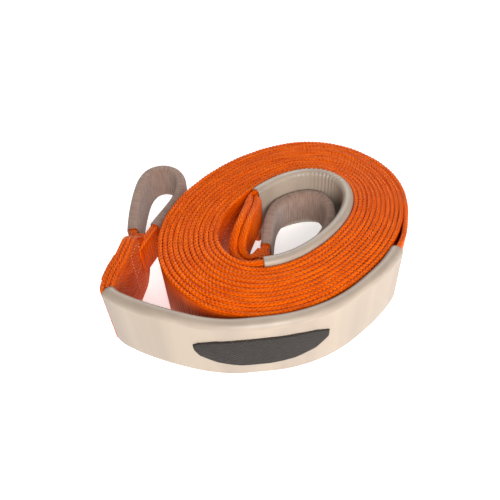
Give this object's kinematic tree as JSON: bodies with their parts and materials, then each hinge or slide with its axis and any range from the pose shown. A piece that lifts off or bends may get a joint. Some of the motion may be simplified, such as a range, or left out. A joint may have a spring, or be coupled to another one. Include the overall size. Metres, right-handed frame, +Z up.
{
  "type": "tow strap",
  "caption": "Wide orange webbing tow strap coiled on edge, with a folded, sleeved eye at each end and two pale slide-on protector sleeves.",
  "frame": {"origin": "middle of the part's bounding box in plan, on the floor it stands on", "axes": "+Z up along the webbing's width, +X across the coil with the outer eye and tail at -X, +Y away from the side that shows the outer sleeve's badge patch"},
  "size_m": [0.3254, 0.2958, 0.0838],
  "materials": {
    "webbing": "woven nylon webbing, satin, bright orange",
    "protector_sleeve": "smooth coated cloth tube, pale warm grey",
    "eye_sleeve": "plain woven wear sleeve, taupe, matt",
    "badge_patch": "soft moulded patch with a fine weave texture, dark grey brown, bare"
  },
  "bodies": {
    "root": {"webbing": "webbing", "protector_sleeve_outer": "protector_sleeve", "protector_sleeve_inner": "protector_sleeve", "eye_sleeve_outer": "eye_sleeve", "eye_sleeve_inner": "eye_sleeve", "badge_patch": "badge_patch"}
  },
  "joints": []
}
